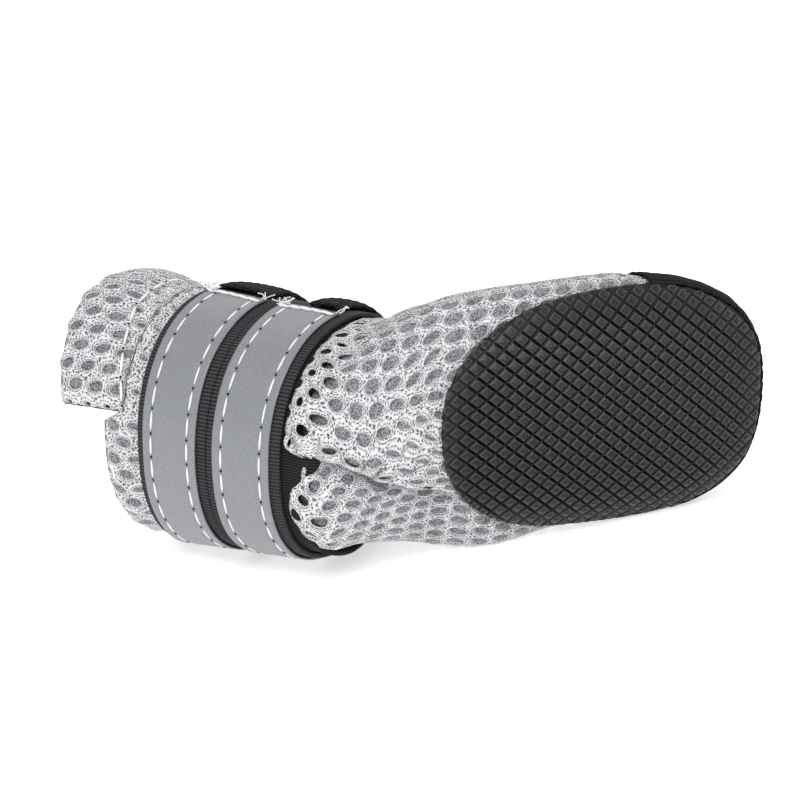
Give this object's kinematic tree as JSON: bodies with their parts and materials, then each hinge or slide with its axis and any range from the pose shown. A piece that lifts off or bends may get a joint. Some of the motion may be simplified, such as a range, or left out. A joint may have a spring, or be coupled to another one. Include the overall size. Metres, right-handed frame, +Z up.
{
  "type": "dog boot",
  "caption": "Slack mesh dog boot with a domed rubber sole, two taped straps and a doubled collar flap, lying on its side.",
  "frame": {"origin": "floor under the middle of the lying boot's bounding box", "axes": "+X to the toe, +Y from the sole's side to the collar's side, +Z up from the floor the boot's left side lies on"},
  "size_m": [0.1704, 0.095, 0.0673],
  "materials": {
    "net_mesh": "matte knitted mesh",
    "sole_rubber": "satin",
    "woven_cap": "matte woven",
    "insole_cloth": "matte cloth",
    "ribbed_elastic": "matte ribbed",
    "black_webbing": "satin woven",
    "silver_tape": "reflective glass-bead cloth",
    "hook_and_loop": "matte napped"
  },
  "bodies": {
    "root": {"upper": "net_mesh", "outsole": "sole_rubber", "insole": "insole_cloth", "toe_cap": "woven_cap", "elastic_band": "ribbed_elastic", "webbing_ankle": "black_webbing", "webbing_collar": "black_webbing", "tape_ankle": "silver_tape", "tape_collar": "silver_tape", "hook_tail_ankle": "hook_and_loop", "hook_tail_collar": "hook_and_loop", "collar_flap": "net_mesh"}
  },
  "joints": []
}
